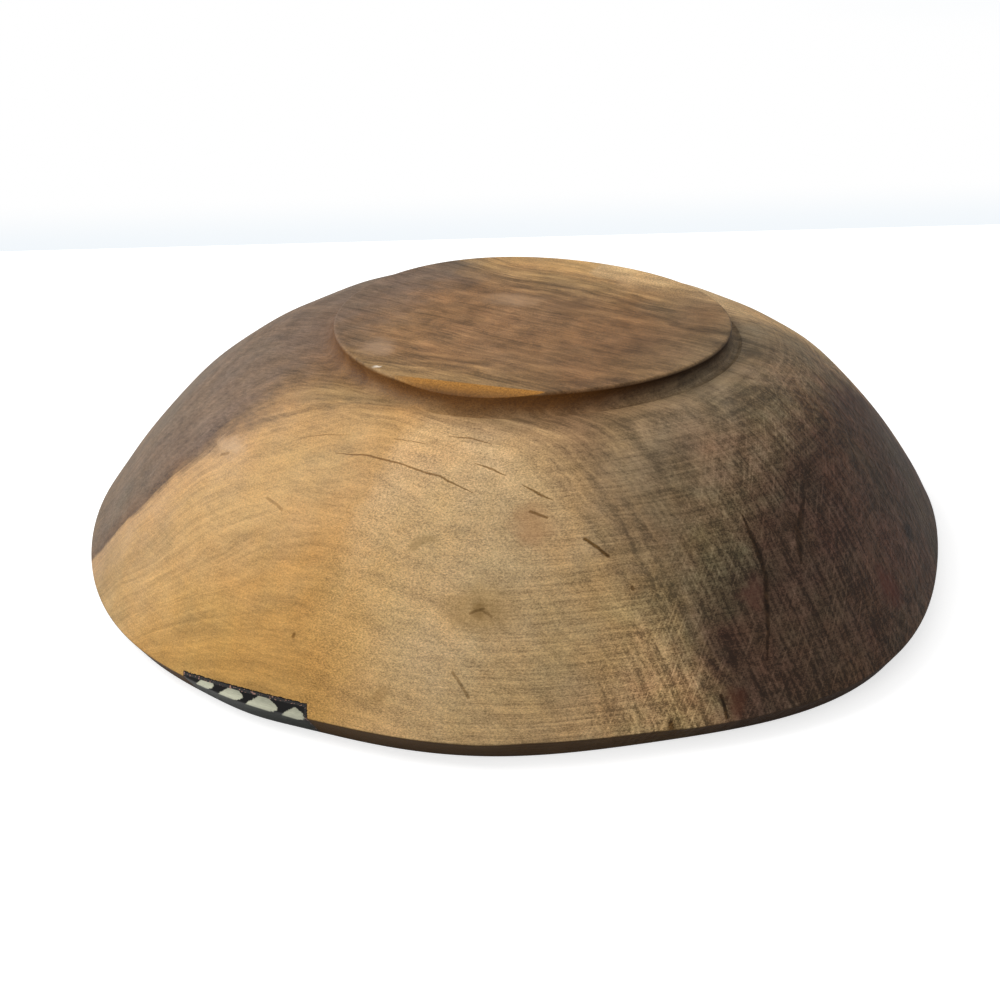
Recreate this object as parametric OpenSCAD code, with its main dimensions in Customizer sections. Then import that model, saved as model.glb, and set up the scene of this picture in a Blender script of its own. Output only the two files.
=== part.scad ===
// Shallow oval bowl, carved by hand from one block of wood and stood upside down on its rim.
// A plain foot disc is left standing on top, and one bar of bone is let into the rim.
// Lengths are in millimetres and directions in degrees, anticlockwise from +X seen from above.
// X runs along the oval, +Z up through the foot, and z = 0 is what the rim stands on.
// The bowl's outline is centred on the origin.

/* [Rim] */
// Length of the oval rim, along X
rim_length = 280; // [220:1:360]
// Width of the oval rim, along Y
rim_width = 237; // [190:1:320]
// Height of the wall's lower edge above the land that the rim stands on
lip_height = 6.7; // [4:0.1:10]
// How far the lip slopes inwards from the wall's edge down to the land
lip_lean = 3.5; // [1:0.5:6]
// Width of the flat land that the rim stands on
land_width = 2.5; // [1:0.5:5]

/* [Uneven carving of the rim] */
// Height of the two-sided bulge in the rim's outline
bulge_two = 1.9; // [0:0.1:4]
// Direction of one side of the two-sided bulge
bulge_two_angle = 135; // [0:1:180]
// Height of the three-cornered bulge in the rim's outline
bulge_three = 1.1; // [0:0.1:4]
// Direction of one corner of the three-cornered bulge
bulge_three_angle = 25; // [0:1:120]
// Height of the four-cornered bulge in the rim's outline
bulge_four = 1.8; // [0:0.1:4]
// Direction of one corner of the four-cornered bulge
bulge_four_angle = 44; // [0:1:90]
// Height of the six ripples in the rim's outline
bulge_six = 0.9; // [0:0.1:2]
// Direction of one of the six ripples
bulge_six_angle = 14; // [0:1:60]
// Height of the seven ripples in the rim's outline
bulge_seven = 1; // [0:0.1:2]
// Direction of one of the seven ripples
bulge_seven_angle = 11; // [0:1:51]
// How far the lip's height rises and falls, four times round
lip_wave = 0.6; // [0:0.1:1.5]
// Direction of one high place of the lip
lip_wave_angle = 68; // [0:1:90]

/* [Bowl] */
// Height of the bowl, from the land to the foot's face
bowl_height = 71.3; // [55:0.1:100]
// How late the wall turns down: 1 is a straight cone, more is a rounder belly
wall_curve = 1.87; // [1.4:0.01:2.6]
// Wood between the foot's face and the deepest point of the hollow
base_thickness = 15; // [12:0.5:20]
// How full the hollow is: more is a flatter bottom with steeper sides
hollow_fullness = 4.2; // [3.6:0.1:4.6]

/* [Foot] */
// Length of the oval foot
foot_length = 122.6; // [100:0.2:140]
// Width of the oval foot
foot_width = 107.8; // [90:0.2:125]
// Direction that the foot's length lies in
foot_angle = -7; // [-45:1:45]
// Height of the three-cornered bulge in the foot's outline
foot_bulge = 1.2; // [0:0.1:3]
// Direction of one corner of the foot's bulge
foot_bulge_angle = 115; // [0:1:120]
// How far the foot's middle lies from the rim's middle, along X
foot_shift_x = 4.6; // [-10:0.1:10]
// How far the foot's middle lies from the rim's middle, along Y
foot_shift_y = 6; // [-10:0.1:10]
// Height of the straight side below the foot's face
foot_side = 1; // [0.9:0.1:4]
// Radius of the scooped cove between the foot and the wall
foot_cove = 4.5; // [2:0.1:6]
// Radius of the worn edge round the foot's face
foot_edge = 0.8; // [0.2:0.1:0.9]
// How far a flat cut takes the foot's edge away, from the edge inwards
shave_width = 4.5; // [1:0.5:8]
// Direction of that cut from the foot's middle
shave_angle = 254; // [180:1:330]
// Slope of that cut below the foot's face
shave_slope = 20; // [10:1:24]

/* [Inlay] */
// Direction of the inlay's middle
inlay_angle = 233.7; // [180:0.1:320]
// Length of the sawn pocket along the rim
pocket_length = 40; // [20:0.5:50]
// Height of the pocket's middle up the wall from the wall's lower edge
pocket_height = 3.5; // [3:0.1:6]
// How far the pocket's floor is sawn out of line with the rim
pocket_tilt = 4; // [-3:0.5:6]
// How far the pocket's ends lean back from square
pocket_lean = 11; // [0:1:20]
// Thickness of the glue on the pocket's floor
glue_floor = 0.8; // [0.3:0.1:1.2]
// Thickness of the glue at each end of the bar
glue_end = 0.6; // [0.3:0.1:1.2]
// How far the rim swells where the bar lies
inlay_swell = 1.1; // [0:0.1:2]

/* [Hidden] */

around = 90;             // corners in each ring of the bowl
wall_steps = 12;         // rings down the wall
hollow_steps = 11;       // rings up the hollow
edge_angles = [0, 45, 90];
cove_angles = [0, 30, 60, 90];
swell_half_width = 6.5;  // degrees to each side of the swell's middle
saw_reach = 25;          // how far the pocket's saw cut runs past the lip, down and inwards
saw_over = 10;           // how far the saw cut starts outside the wall

foot_height = foot_side + foot_cove;
neck_height = bowl_height - foot_height;
hollow_depth = bowl_height - base_thickness;
bar_length = pocket_length - 2 * glue_end;
bar_height = pocket_height - glue_floor;

function oval(a, long, wide) =
    long * wide / 2 / sqrt(pow(wide * cos(a), 2) + pow(long * sin(a), 2));

function wave(a, sides, height, angle) = height * cos(sides * (a - angle));

// A smooth swell round one direction, as a bell curve
function swell(a) =
    inlay_swell * exp(-pow(((a - inlay_angle + 540) % 360 - 180) / swell_half_width, 2));

function spoke(a) = [cos(a), sin(a)];

// Distance from the rim's middle to the wall's lower edge, and that edge's height
function rim_radius(a) =
    oval(a, rim_length, rim_width)
    + wave(a, 2, bulge_two, bulge_two_angle)
    + wave(a, 3, bulge_three, bulge_three_angle)
    + wave(a, 4, bulge_four, bulge_four_angle)
    + wave(a, 6, bulge_six, bulge_six_angle)
    + wave(a, 7, bulge_seven, bulge_seven_angle)
    + swell(a);

function rim_height(a) = lip_height + wave(a, 4, lip_wave, lip_wave_angle);

function foot_radius(a) =
    oval(a - foot_angle, foot_length, foot_width) + wave(a, 3, foot_bulge, foot_bulge_angle);

directions = [for (i = [0 : around - 1]) i * 360 / around];

// The outline's middle, which is moved to the origin
rim_edge = [for (a = directions) rim_radius(a) * spoke(a)];
rim_middle = [
    (max([for (p = rim_edge) p.x]) + min([for (p = rim_edge) p.x])) / 2,
    (max([for (p = rim_edge) p.y]) + min([for (p = rim_edge) p.y])) / 2
];
foot_middle = rim_middle + [foot_shift_x, foot_shift_y];

function placed(flat, z) = [flat.x - rim_middle.x, flat.y - rim_middle.y, z];

// One ring round the foot, at a distance outside the foot's outline and a height
function foot_ring(out, z) =
    [for (a = directions) placed(foot_middle + (foot_radius(a) + out) * spoke(a), z)];

// A point of the wall: in plan on the straight line from the neck, where part = 0,
// to the rim, where part = 1, while its height falls by a power of that part
function wall_point(a, part) =
    let (
        neck = foot_middle + (foot_radius(a) + foot_cove) * spoke(a),
        edge = rim_radius(a) * spoke(a),
        fall = pow(part, wall_curve)
    )
    placed(neck * (1 - part) + edge * part, neck_height * (1 - fall) + rim_height(a) * fall);

// One ring of the rim's land, at a distance inside the wall's lower edge
function land_ring(in) = [for (a = directions) placed((rim_radius(a) - in) * spoke(a), 0)];

// A point of the hollow: in plan on the straight line from under the foot's middle,
// where part = 0, to the land's inner edge, where part = 1
function hollow_point(a, part) =
    let (edge = (rim_radius(a) - lip_lean - land_width) * spoke(a))
    placed(foot_middle * (1 - part) + edge * part,
           hollow_depth * (1 - pow(part, hollow_fullness)));

// The rings run from the foot's face, down the outside, under the rim and up the hollow
bowl_rings = concat(
    [for (f = edge_angles)
        foot_ring(foot_edge * (sin(f) - 1), bowl_height - foot_edge * (1 - cos(f)))],
    [for (f = cove_angles)
        foot_ring(foot_cove * (1 - cos(f)), bowl_height - foot_side - foot_cove * sin(f))],
    [for (s = [1 : wall_steps]) [for (a = directions) wall_point(a, s / wall_steps)]],
    [land_ring(lip_lean)],
    [for (s = [hollow_steps : -1 : 1])
        [for (a = directions) hollow_point(a, s / hollow_steps)]]
);

// A closed skin through rings of points, with a fan over each end
module lofted(rings, first_end, last_end) {
    turns = len(rings);
    sides = len(rings[0]);
    points = concat([first_end], [for (ring = rings) each ring], [last_end]);
    function corner(ring, i) = 1 + ring * sides + i % sides;
    faces = concat(
        [for (i = [0 : sides - 1]) [0, corner(0, i + 1), corner(0, i)]],
        [for (r = [0 : turns - 2], i = [0 : sides - 1])
            [corner(r, i), corner(r, i + 1), corner(r + 1, i + 1)]],
        [for (r = [0 : turns - 2], i = [0 : sides - 1])
            [corner(r, i), corner(r + 1, i + 1), corner(r + 1, i)]],
        [for (i = [0 : sides - 1])
            [len(points) - 1, corner(turns - 1, i), corner(turns - 1, i + 1)]]
    );
    polyhedron(points = points, faces = faces);
}

// The carved block before its foot is shaved and its pocket is sawn
module carved_block() {
    lofted(bowl_rings, placed(foot_middle, bowl_height), placed(foot_middle, hollow_depth));
}

// The wood that the flat cut takes off the foot's edge
module foot_shaving() {
    length = foot_length;
    reach = shave_width + foot_cove;
    translate(placed(foot_middle, bowl_height))
        rotate([0, 0, shave_angle])
            translate([foot_radius(shave_angle) - shave_width, 0, 0])
                rotate([0, shave_slope, 0])
                    translate([-reach, -length / 2, 0])
                        cube([2 * reach, length, foot_height]);
}

// Places its child at the inlay's middle on the wall's lower edge:
// x along the rim, y up the slope of the wall, z square out of the wall
module at_inlay() {
    side = pocket_length / 2 / rim_radius(inlay_angle) * 180 / PI;
    along = wall_point(inlay_angle + side, 1) - wall_point(inlay_angle - side, 1);
    edge = wall_point(inlay_angle, 1);
    above = wall_point(inlay_angle, 1 - 1 / wall_steps);
    slope = atan2(above.z - edge.z, norm([above.x - edge.x, above.y - edge.y]));
    translate(edge)
        rotate([0, 0, atan2(along.y, along.x)])
            rotate([slope, 0, 0])
                rotate([0, 0, pocket_tilt])
                    children();
}

// A sawn slot that is open at the rim and runs right through the wall, with leaning ends
module saw_cut(length, height) {
    corners = [
        [-length / 2, -saw_reach],
        [length / 2, -saw_reach],
        [length / 2, height],
        [-length / 2, height]
    ];
    at_inlay()
        translate([0, 0, -saw_reach])
            linear_extrude(saw_reach + saw_over)
                polygon([for (c = corners) [c.x - c.y * tan(pocket_lean), c.y]]);
}

module bowl() {
    color([0.66, 0.51, 0.35])
        difference() {
            carved_block();
            foot_shaving();
            saw_cut(pocket_length, pocket_height);
        }
}

// The bone bar is dressed flush with the wall, the lip, the land and the hollow
module bone_inlay() {
    color([0.88, 0.86, 0.76])
        intersection() {
            carved_block();
            saw_cut(bar_length, bar_height);
        }
}

// The black glue lines the pocket's floor and both of its ends
module glue_bed() {
    color([0.06, 0.05, 0.05])
        difference() {
            intersection() {
                carved_block();
                saw_cut(pocket_length, pocket_height);
            }
            saw_cut(bar_length, bar_height);
        }
}

bowl();
bone_inlay();
glue_bed();
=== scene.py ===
"""Looks of a hand-carved oval wooden bowl that stands upside down on its rim.

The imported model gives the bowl, the bone bar let into its rim and the glue round the bar. Here each of
them is made again as a finished surface with a procedural material, around a camera, a floor and lamps.
Lengths are in metres, angles in radians, and directions run anticlockwise from +X seen from above.
"""

import math
from functools import partialmethod

import bpy
import numpy as np
from mathutils import Matrix, Vector


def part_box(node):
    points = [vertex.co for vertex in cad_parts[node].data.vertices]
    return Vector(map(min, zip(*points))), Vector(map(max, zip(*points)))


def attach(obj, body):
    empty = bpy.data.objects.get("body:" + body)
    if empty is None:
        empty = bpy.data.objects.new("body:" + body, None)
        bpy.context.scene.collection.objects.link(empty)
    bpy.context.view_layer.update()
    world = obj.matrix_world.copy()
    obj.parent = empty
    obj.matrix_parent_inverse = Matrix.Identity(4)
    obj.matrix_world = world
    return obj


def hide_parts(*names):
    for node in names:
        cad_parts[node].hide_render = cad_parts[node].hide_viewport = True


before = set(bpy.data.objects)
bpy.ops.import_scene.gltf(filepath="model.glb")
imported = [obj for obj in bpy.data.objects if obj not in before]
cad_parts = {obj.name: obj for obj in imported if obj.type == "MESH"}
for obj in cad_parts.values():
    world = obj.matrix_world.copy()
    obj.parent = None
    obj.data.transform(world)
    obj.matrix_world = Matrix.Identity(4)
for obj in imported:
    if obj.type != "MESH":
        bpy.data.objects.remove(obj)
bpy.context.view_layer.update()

bl_info = {
    "name": "Carved Wooden Bowl",
    "version": (1, 0, 0),
    "blender": (4, 5, 0),
    "location": "View3D > Sidebar > Carved Bowl",
    "description": "Hand-carved oval bowl with a bone bar in its rim, and the stage it stands on",
    "category": "Add Mesh",
}

MM = 0.001
BODY = "root"

# Sides of the bowl in degrees: its back, the knife's cut beside the foot, the neck's strongest painted shade,
# the flat cut on the foot's edge and the hem below the inlay, which is darkened with painted shade
BACK_SIDE, KNIFE_SIDE, NECK_SHADE_SIDE, SHAVED_SIDE, HEM_SIDE = 70, 345, 290, 254, 242

# Uneven carving of the rim's outline, of its height and of the foot: sides of the ripple, its height, and the
# degrees of one crest
RIM_BULGES = (
    (2, 1.9 * MM, 135),
    (3, 1.1 * MM, 25),
    (4, 1.8 * MM, 44),
    (6, 0.9 * MM, 14),
    (7, 1.0 * MM, 11),
)
LIP_WAVE = (4, 0.6 * MM, 68)
FOOT_BULGE = (3, 1.2 * MM, 115)
FOOT_TURN = math.radians(-7)
SHAVE_TURN = math.radians(SHAVED_SIDE)
SHAVE_SLOPE = math.radians(20)

# Direction of the inlay, half the width of the rim's swell there, and the tilt and the lean of its pocket
INLAY_TURN = math.radians(233.7)
SWELL_HALF_WIDTH = math.radians(6.5)
POCKET_TILT = math.radians(4)
POCKET_LEAN = math.radians(11)

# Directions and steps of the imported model, from which the outline's middle and the wall's slope are taken
OUTLINE_DIRECTIONS = np.radians(np.arange(0, 360, 4))
WALL_STEPS = 12

# Directions of the knife's deepest cut beside the foot, of the gouge below the flat cut and of the neck's
# softer side, and the stretches over which the flat cut on the wall's edge comes and goes
KNIFE_TURN = math.radians(338)
GOUGE_TURN, GOUGE_HALF_WIDTH = SHAVE_TURN - math.radians(1), math.radians(9)
SOFT_TURN, SOFT_HALF_WIDTH = math.radians(195), math.radians(38)
CHAMFER_COMES = (math.radians(264), math.radians(272))
CHAMFER_GOES = (math.radians(286), math.radians(293))

# Low waves that the tools left: how many go round, radians of turn down the profile, share and start. Then
# their height in the hollow and across the foot's face, and how far the face lies hollow at its middle
WALL_WAVES = ((5, 7, 1.0, 0.4), (9, -9, 0.8, 2.1), (13, 16, 0.6, 4.0), (22, -13, 0.4, 1.0))
HOLLOW_WAVES = ((8, 10, 1.0, 0.0), (15, -14, 0.7, 1.0))
HOLLOW_WAVE_HEIGHT = 0.2 * MM
PLANE_HEIGHT = 0.10 * MM
FACE_DIP = 0.2 * MM

# Columns round each carved block, and the degrees past which an edge stays sharp on wood and on the inlay
COLUMNS = 400
WOOD_SHARP, INLAY_SHARP = 35, 40
BEVEL_SHARP = math.radians(50)

# How far the saw's block goes inwards and below the rim, and outwards past the wall
SAW_REACH = 25 * MM
SAW_OVER = 10 * MM

# Where each stretch of the bowl's skin starts in its "skin" map, from the foot's face to the hollow
FACE_START, NECK_START, WALL_START, LIP_START, LAND_START, HOLLOW_START = -2.0, -1.0, 0.0, 1.0, 2.0, 3.0
HOLLOW_END = 4.0


def paint(red, green, blue):
    """A colour given in 0 to 255 display values, as the linear colour that Blender works in."""
    shares = np.array([red, green, blue]) / 255
    return tuple(np.where(shares <= 0.04045, shares / 12.92, ((shares + 0.055) / 1.055) ** 2.4).tolist())


def length(name, description, millimetres):
    """A length property in metres, from a default in millimetres."""
    return bpy.props.FloatProperty(
        name=name, description=description, default=millimetres * MM, min=0, unit="LENGTH", precision=4
    )


def share(name, description, value, most=10.0):
    """A plain number property."""
    return bpy.props.FloatProperty(name=name, description=description, default=value, min=0, max=most)


def bearing(name, description, degrees):
    """An angle property in radians, from a default in degrees."""
    return bpy.props.FloatProperty(
        name=name, description=description, default=math.radians(degrees), subtype="ANGLE"
    )


def colour(name, description, *display):
    """A colour property, from a default in 0 to 255 display values."""
    return bpy.props.FloatVectorProperty(
        name=name,
        description=description,
        default=paint(*display),
        size=3,
        min=0,
        max=1,
        subtype="COLOR",
    )


class BowlSizes(bpy.types.PropertyGroup):
    """Sizes of the carved bowl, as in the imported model."""

    rim_length: length("Rim length", "Length of the oval rim, along X", 280)
    rim_width: length("Rim width", "Width of the oval rim, along Y", 237)
    lip_height: length("Lip height", "Height of the wall's lower edge above the land", 6.7)
    lip_lean: length("Lip lean", "How far the lip slopes inwards down to the land", 3.5)
    land_width: length("Land width", "Width of the flat land that the rim stands on", 2.5)
    bowl_height: length("Bowl height", "Height from the land to the foot's face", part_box("bowl")[1].z / MM)
    wall_curve: share("Wall curve", "How late the wall turns down: more is a rounder belly", 1.87)
    base_thickness: length("Base thickness", "Wood between the foot's face and the hollow", 15)
    hollow_fullness: share("Hollow fullness", "More is a flatter bottom with steeper sides", 4.2)
    foot_length: length("Foot length", "Length of the oval foot", 122.6)
    foot_width: length("Foot width", "Width of the oval foot", 107.8)
    foot_shift_x: length("Foot shift X", "How far the foot's middle lies to the right of the rim's", 4.6)
    foot_shift_y: length("Foot shift Y", "How far the foot's middle lies behind the rim's", 6)
    foot_side: length("Foot side", "Height of the straight side below the foot's face", 1)
    foot_cove: length("Foot cove", "Radius of the scooped cove between the foot and the wall", 4.5)
    foot_edge: length("Foot edge", "Radius of the worn edge round the foot's face", 0.8)
    shave_width: length("Shave width", "How much of the foot's edge a flat cut takes away", 4.5)
    undercut: length("Undercut", "How far the knife went in under the foot's edge at the right", 1.3)
    groove: length("Groove", "How deep the knife cut beside the foot at the right", 1.0)
    scoop: length("Scoop", "How deep the gouge went below the flat cut", 1.6)
    tool_marks: length("Tool marks", "Height of the low waves that the carving left in the wall", 0.35)
    rim_chamfer: length("Rim chamfer", "How far a flat cut at the front takes the wall's edge back", 0.9)
    edge_wear: length("Edge wear", "How far the rim's edges are rounded", 0.35)


class InlaySizes(bpy.types.PropertyGroup):
    """Sizes of the bone bar, its pocket and the glue."""

    pocket_length: length("Pocket length", "Length of the sawn pocket along the rim", 40)
    pocket_height: length("Pocket height", "Height of the pocket's middle up the wall", 3.5)
    glue_floor: length("Floor glue", "Thickness of the glue on the pocket's floor", 0.8)
    glue_end: length("End glue", "Thickness of the glue at each end of the bar", 0.6)
    inlay_swell: length("Rim swell", "How far the rim swells where the bar lies", 1.1)
    bar_edge: length("Bar edge", "Radius of the bar's rubbed edges", 0.25)
    glue_smear: length("Glue smear", "How far the glue ran over the wood beside the pocket", 0.5)


class WoodColours(bpy.types.PropertyGroup):
    """Colours of the wood, and of the painted shade in its neck, its groove and on its lip."""

    sap_gold: colour("Golden sapwood", "Sapwood left of the inlay's right end", 196, 156, 102)
    sap_far: colour("Far sapwood", "Sapwood at the log's left end", 161, 136, 97)
    sap_deep: colour("Deep gold", "Sapwood low down beside the inlay", 194, 149, 84)
    sap_pale: colour("Pale sapwood", "Sapwood at the front, right of the golden part", 203, 169, 122)
    flushed: colour("Flushed sapwood", "Pinkish sapwood beside the dark band at the left", 188, 152, 114)
    # Partly painted shade: this tan is darker sapwood and also stands in for shade on the bowl's right side
    sap_tan: colour("Tan sapwood", "Sapwood where it turns dark towards the right", 155, 125, 84)
    heart_grey: colour("Grey heartwood", "Heartwood at the log's left end", 112, 94, 76)
    heart_rose: colour("Rosy heartwood", "Heartwood left of the foot", 119, 98, 81)
    heart_brown: colour("Brown heartwood", "Heartwood of the foot", 141, 106, 72)
    heart_olive: colour("Olive heartwood", "Heartwood right of the pale front", 141, 119, 90)
    # Partly painted shade: the dark end and the umber are dark heartwood and also stand in for shade on the
    # right side
    dark_end: colour("Dark end", "The log's dark right end", 72, 52, 39)
    umber: colour("Umber", "Heartwood just before it turns to the dark end", 104, 84, 61)
    edge_band: colour("Heartwood edge", "The dark band where the heartwood ends", 100, 76, 56)
    # The next three colours are painted shade: the brown of the neck's cove, also used low on the flat cut,
    # the near black of the knife's groove beside the foot, and the dark brown of the lip, which faces the
    # floor
    shade_brown: colour("Stain", "Golden brown dirt in the neck", 98, 58, 13)
    groove: colour("Groove", "Burnt brown of the deep cut beside the foot", 34, 17, 6)
    lip: colour("Lip", "Dark brown of the lip", 48, 27, 2)
    shaved: colour("Shaved wood", "Golden wood of the flat cut on the foot's edge", 176, 120, 48)


class InlayColours(bpy.types.PropertyGroup):
    """Colours of the bar and the glue."""

    bone: colour("Bone", "The bar's undyed bone", 192, 192, 170)
    dye: colour("Dye", "The black stripes", 9, 7, 7)
    # Painted shade, and smudges of glue: the bar's lower side faces the floor and is painted dark grey-green
    grime_and_shade: colour("Grime", "Grey-green dirt on the bar's lower side", 38, 42, 34)
    glue: colour("Glue", "The black glue", 12, 10, 9)
    specks: colour("Specks", "Wood fibres that show through the glue", 168, 124, 108)


class StageSettings(bpy.types.PropertyGroup):
    """Camera, lamps, floor and backdrop."""

    camera_pitch: bearing("Camera pitch", "How far the camera looks down", 31)
    camera_roll: bearing("Camera roll", "How far the camera is turned about its own axis", -0.8)
    field_of_view: bearing("Field of view", "Angle that the square picture takes in", 44)
    camera_place: bpy.props.FloatVectorProperty(
        name="Camera place",
        description="Where the camera stands",
        default=(-4.81 * MM, -351.67 * MM, 220.15 * MM),
        subtype="XYZ",
        unit="LENGTH",
    )
    sky_strength: share("Sky strength", "Strength of the even light from all round", 0.52)
    window_power: share("Window power", "Watts of the soft window light from the left", 7.6, 200)
    front_power: share("Front power", "Watts of the soft light from the front", 1.5, 200)
    floor_glow: share("Floor glow", "How much the floor is brightened for the camera", 0.6)
    floor_end: length("Floor end", "How far behind the bowl the floor's sheet ends", 286)
    floor: colour("Floor", "The pale floor", 228, 228, 228)
    backdrop: colour("Backdrop", "The bluish white of the cloth behind the floor", 243, 248, 252)


GROUPS = {
    "bowl_sizes": BowlSizes,
    "inlay_sizes": InlaySizes,
    "wood_colours": WoodColours,
    "inlay_colours": InlayColours,
    "stage_settings": StageSettings,
}


def wave(angle, sides, height, crest):
    """A ripple: its height times the cosine of its sides times the angle past its crest."""
    return height * np.cos(sides * (angle - math.radians(crest)))


def bell(angle, middle, half_width):
    """A bell curve of the angle: 1 in the middle direction and near 0 past two half widths from it."""
    away = (angle - middle + 3 * math.pi) % (2 * math.pi) - math.pi
    return np.exp(-((away / half_width) ** 2))


def ease(value, low, high):
    """A smooth step: 0 below low, 1 above high, and 3t² - 2t³ between."""
    t = np.clip((value - low) / (high - low), 0, 1)
    return t * t * (3 - 2 * t)


def tool_waves(angle, part, waves):
    """A sum of cosines of the direction and the place down the profile."""
    return sum(share * np.cos(sides * angle + down * part + start) for sides, down, share, start in waves)


def oval(angle, long, wide):
    """Radius of an ellipse in a direction: long·wide/2 over the root of (wide cos)² + (long sin)²."""
    return long * wide / 2 / np.hypot(wide * np.cos(angle), long * np.sin(angle))


def spoke(angle):
    """Unit vector in plan in each direction."""
    return np.stack([np.cos(angle), np.sin(angle)], axis=-1)


class BowlShape:
    """The formulas of the bowl's skin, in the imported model's frame."""

    def __init__(self, sizes, inlay):
        self.sizes = sizes
        self.inlay = inlay
        edge = self.rim_radius(OUTLINE_DIRECTIONS)[:, None] * spoke(OUTLINE_DIRECTIONS)
        self.rim_middle = (edge.max(axis=0) + edge.min(axis=0)) / 2
        self.foot_middle = self.rim_middle + (sizes.foot_shift_x, sizes.foot_shift_y)
        self.neck_height = sizes.bowl_height - sizes.foot_side - sizes.foot_cove
        self.hollow_depth = sizes.bowl_height - sizes.base_thickness

    def rim_radius(self, angle):
        """Radius of the wall's lower edge: an oval, its ripples and the swell at the inlay."""
        ripples = sum(wave(angle, *bulge) for bulge in RIM_BULGES)
        swell = self.inlay.inlay_swell * bell(angle, INLAY_TURN, SWELL_HALF_WIDTH)
        return oval(angle, self.sizes.rim_length, self.sizes.rim_width) + ripples + swell

    def rim_height(self, angle):
        """Height of the wall's lower edge: the lip's height and its wave."""
        return self.sizes.lip_height + wave(angle, *LIP_WAVE)

    def foot_radius(self, angle):
        """Radius of the foot's outline: a turned oval and its bulge."""
        turned = oval(angle - FOOT_TURN, self.sizes.foot_length, self.sizes.foot_width)
        return turned + wave(angle, *FOOT_BULGE)

    def placed(self, flat, height):
        """Points of the plan and their heights as 3-D points, with the outline's middle at the origin."""
        flat, height = np.broadcast_arrays(flat - self.rim_middle, np.asarray(height)[..., None])
        return np.concatenate([flat, height[..., :1]], axis=-1)

    def foot_ring(self, angle, out, height):
        """A ring a distance outside the foot's outline."""
        flat = self.foot_middle + (self.foot_radius(angle) + out)[..., None] * spoke(angle)
        return self.placed(flat, height)

    def wall(self, angle, part):
        """The wall: in plan a straight mix of the neck, at part 0, and the rim, at part 1, while the height
        falls by part to the power of the wall's curve."""
        angle, part = np.broadcast_arrays(angle, part)
        neck = self.foot_middle + (self.foot_radius(angle) + self.sizes.foot_cove)[..., None] * spoke(angle)
        edge = self.rim_radius(angle)[..., None] * spoke(angle)
        fall = part**self.sizes.wall_curve
        height = self.neck_height * (1 - fall) + self.rim_height(angle) * fall
        return self.placed(neck * (1 - part[..., None]) + edge * part[..., None], height)

    def hollow(self, angle, part):
        """The hollow: in plan a straight mix of the foot's middle, at part 0, and the land's inner edge, at
        part 1, while the depth shrinks by part to the power of the hollow's fullness."""
        angle, part = np.broadcast_arrays(angle, part)
        reach = self.rim_radius(angle) - self.sizes.lip_lean - self.sizes.land_width
        edge = reach[..., None] * spoke(angle)
        flat = self.foot_middle * (1 - part[..., None]) + edge * part[..., None]
        return self.placed(flat, self.hollow_depth * (1 - part**self.sizes.hollow_fullness))

    def rim_frame(self):
        """Frame at the inlay's middle on the wall's lower edge: x runs along the rim, y up the wall and z
        square out of it."""
        side = self.inlay.pocket_length / 2 / self.rim_radius(INLAY_TURN)
        first, last = self.wall(np.array([INLAY_TURN - side, INLAY_TURN + side]), 1.0)
        edge, above = self.wall(INLAY_TURN, np.array([1, 1 - 1 / WALL_STEPS]))
        heading = math.atan2(last[1] - first[1], last[0] - first[0])
        slope = math.atan2(above[2] - edge[2], math.hypot(*(above - edge)[:2]))
        turn = Matrix.Rotation(heading, 4, "Z") @ Matrix.Rotation(slope, 4, "X")
        return Matrix.Translation(edge.tolist()) @ turn

    def inlay_frame(self):
        """The rim's frame, turned about its z by the tilt of the pocket."""
        return self.rim_frame() @ Matrix.Rotation(POCKET_TILT, 4, "Z")


def fillet(before, corner, after, cut, steps):
    """Rounds a corner of each column: a quadratic curve from a cut before it to a cut after it, (1-t)² A +
    2t(1-t) C + t² B."""

    def along(to):
        way = to - corner
        return corner + way * cut / np.linalg.norm(way, axis=-1, keepdims=True)

    t = np.linspace(0, 1, steps)[:, None, None]
    return (1 - t) ** 2 * along(before) + 2 * t * (1 - t) * corner + t**2 * along(after)


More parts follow.
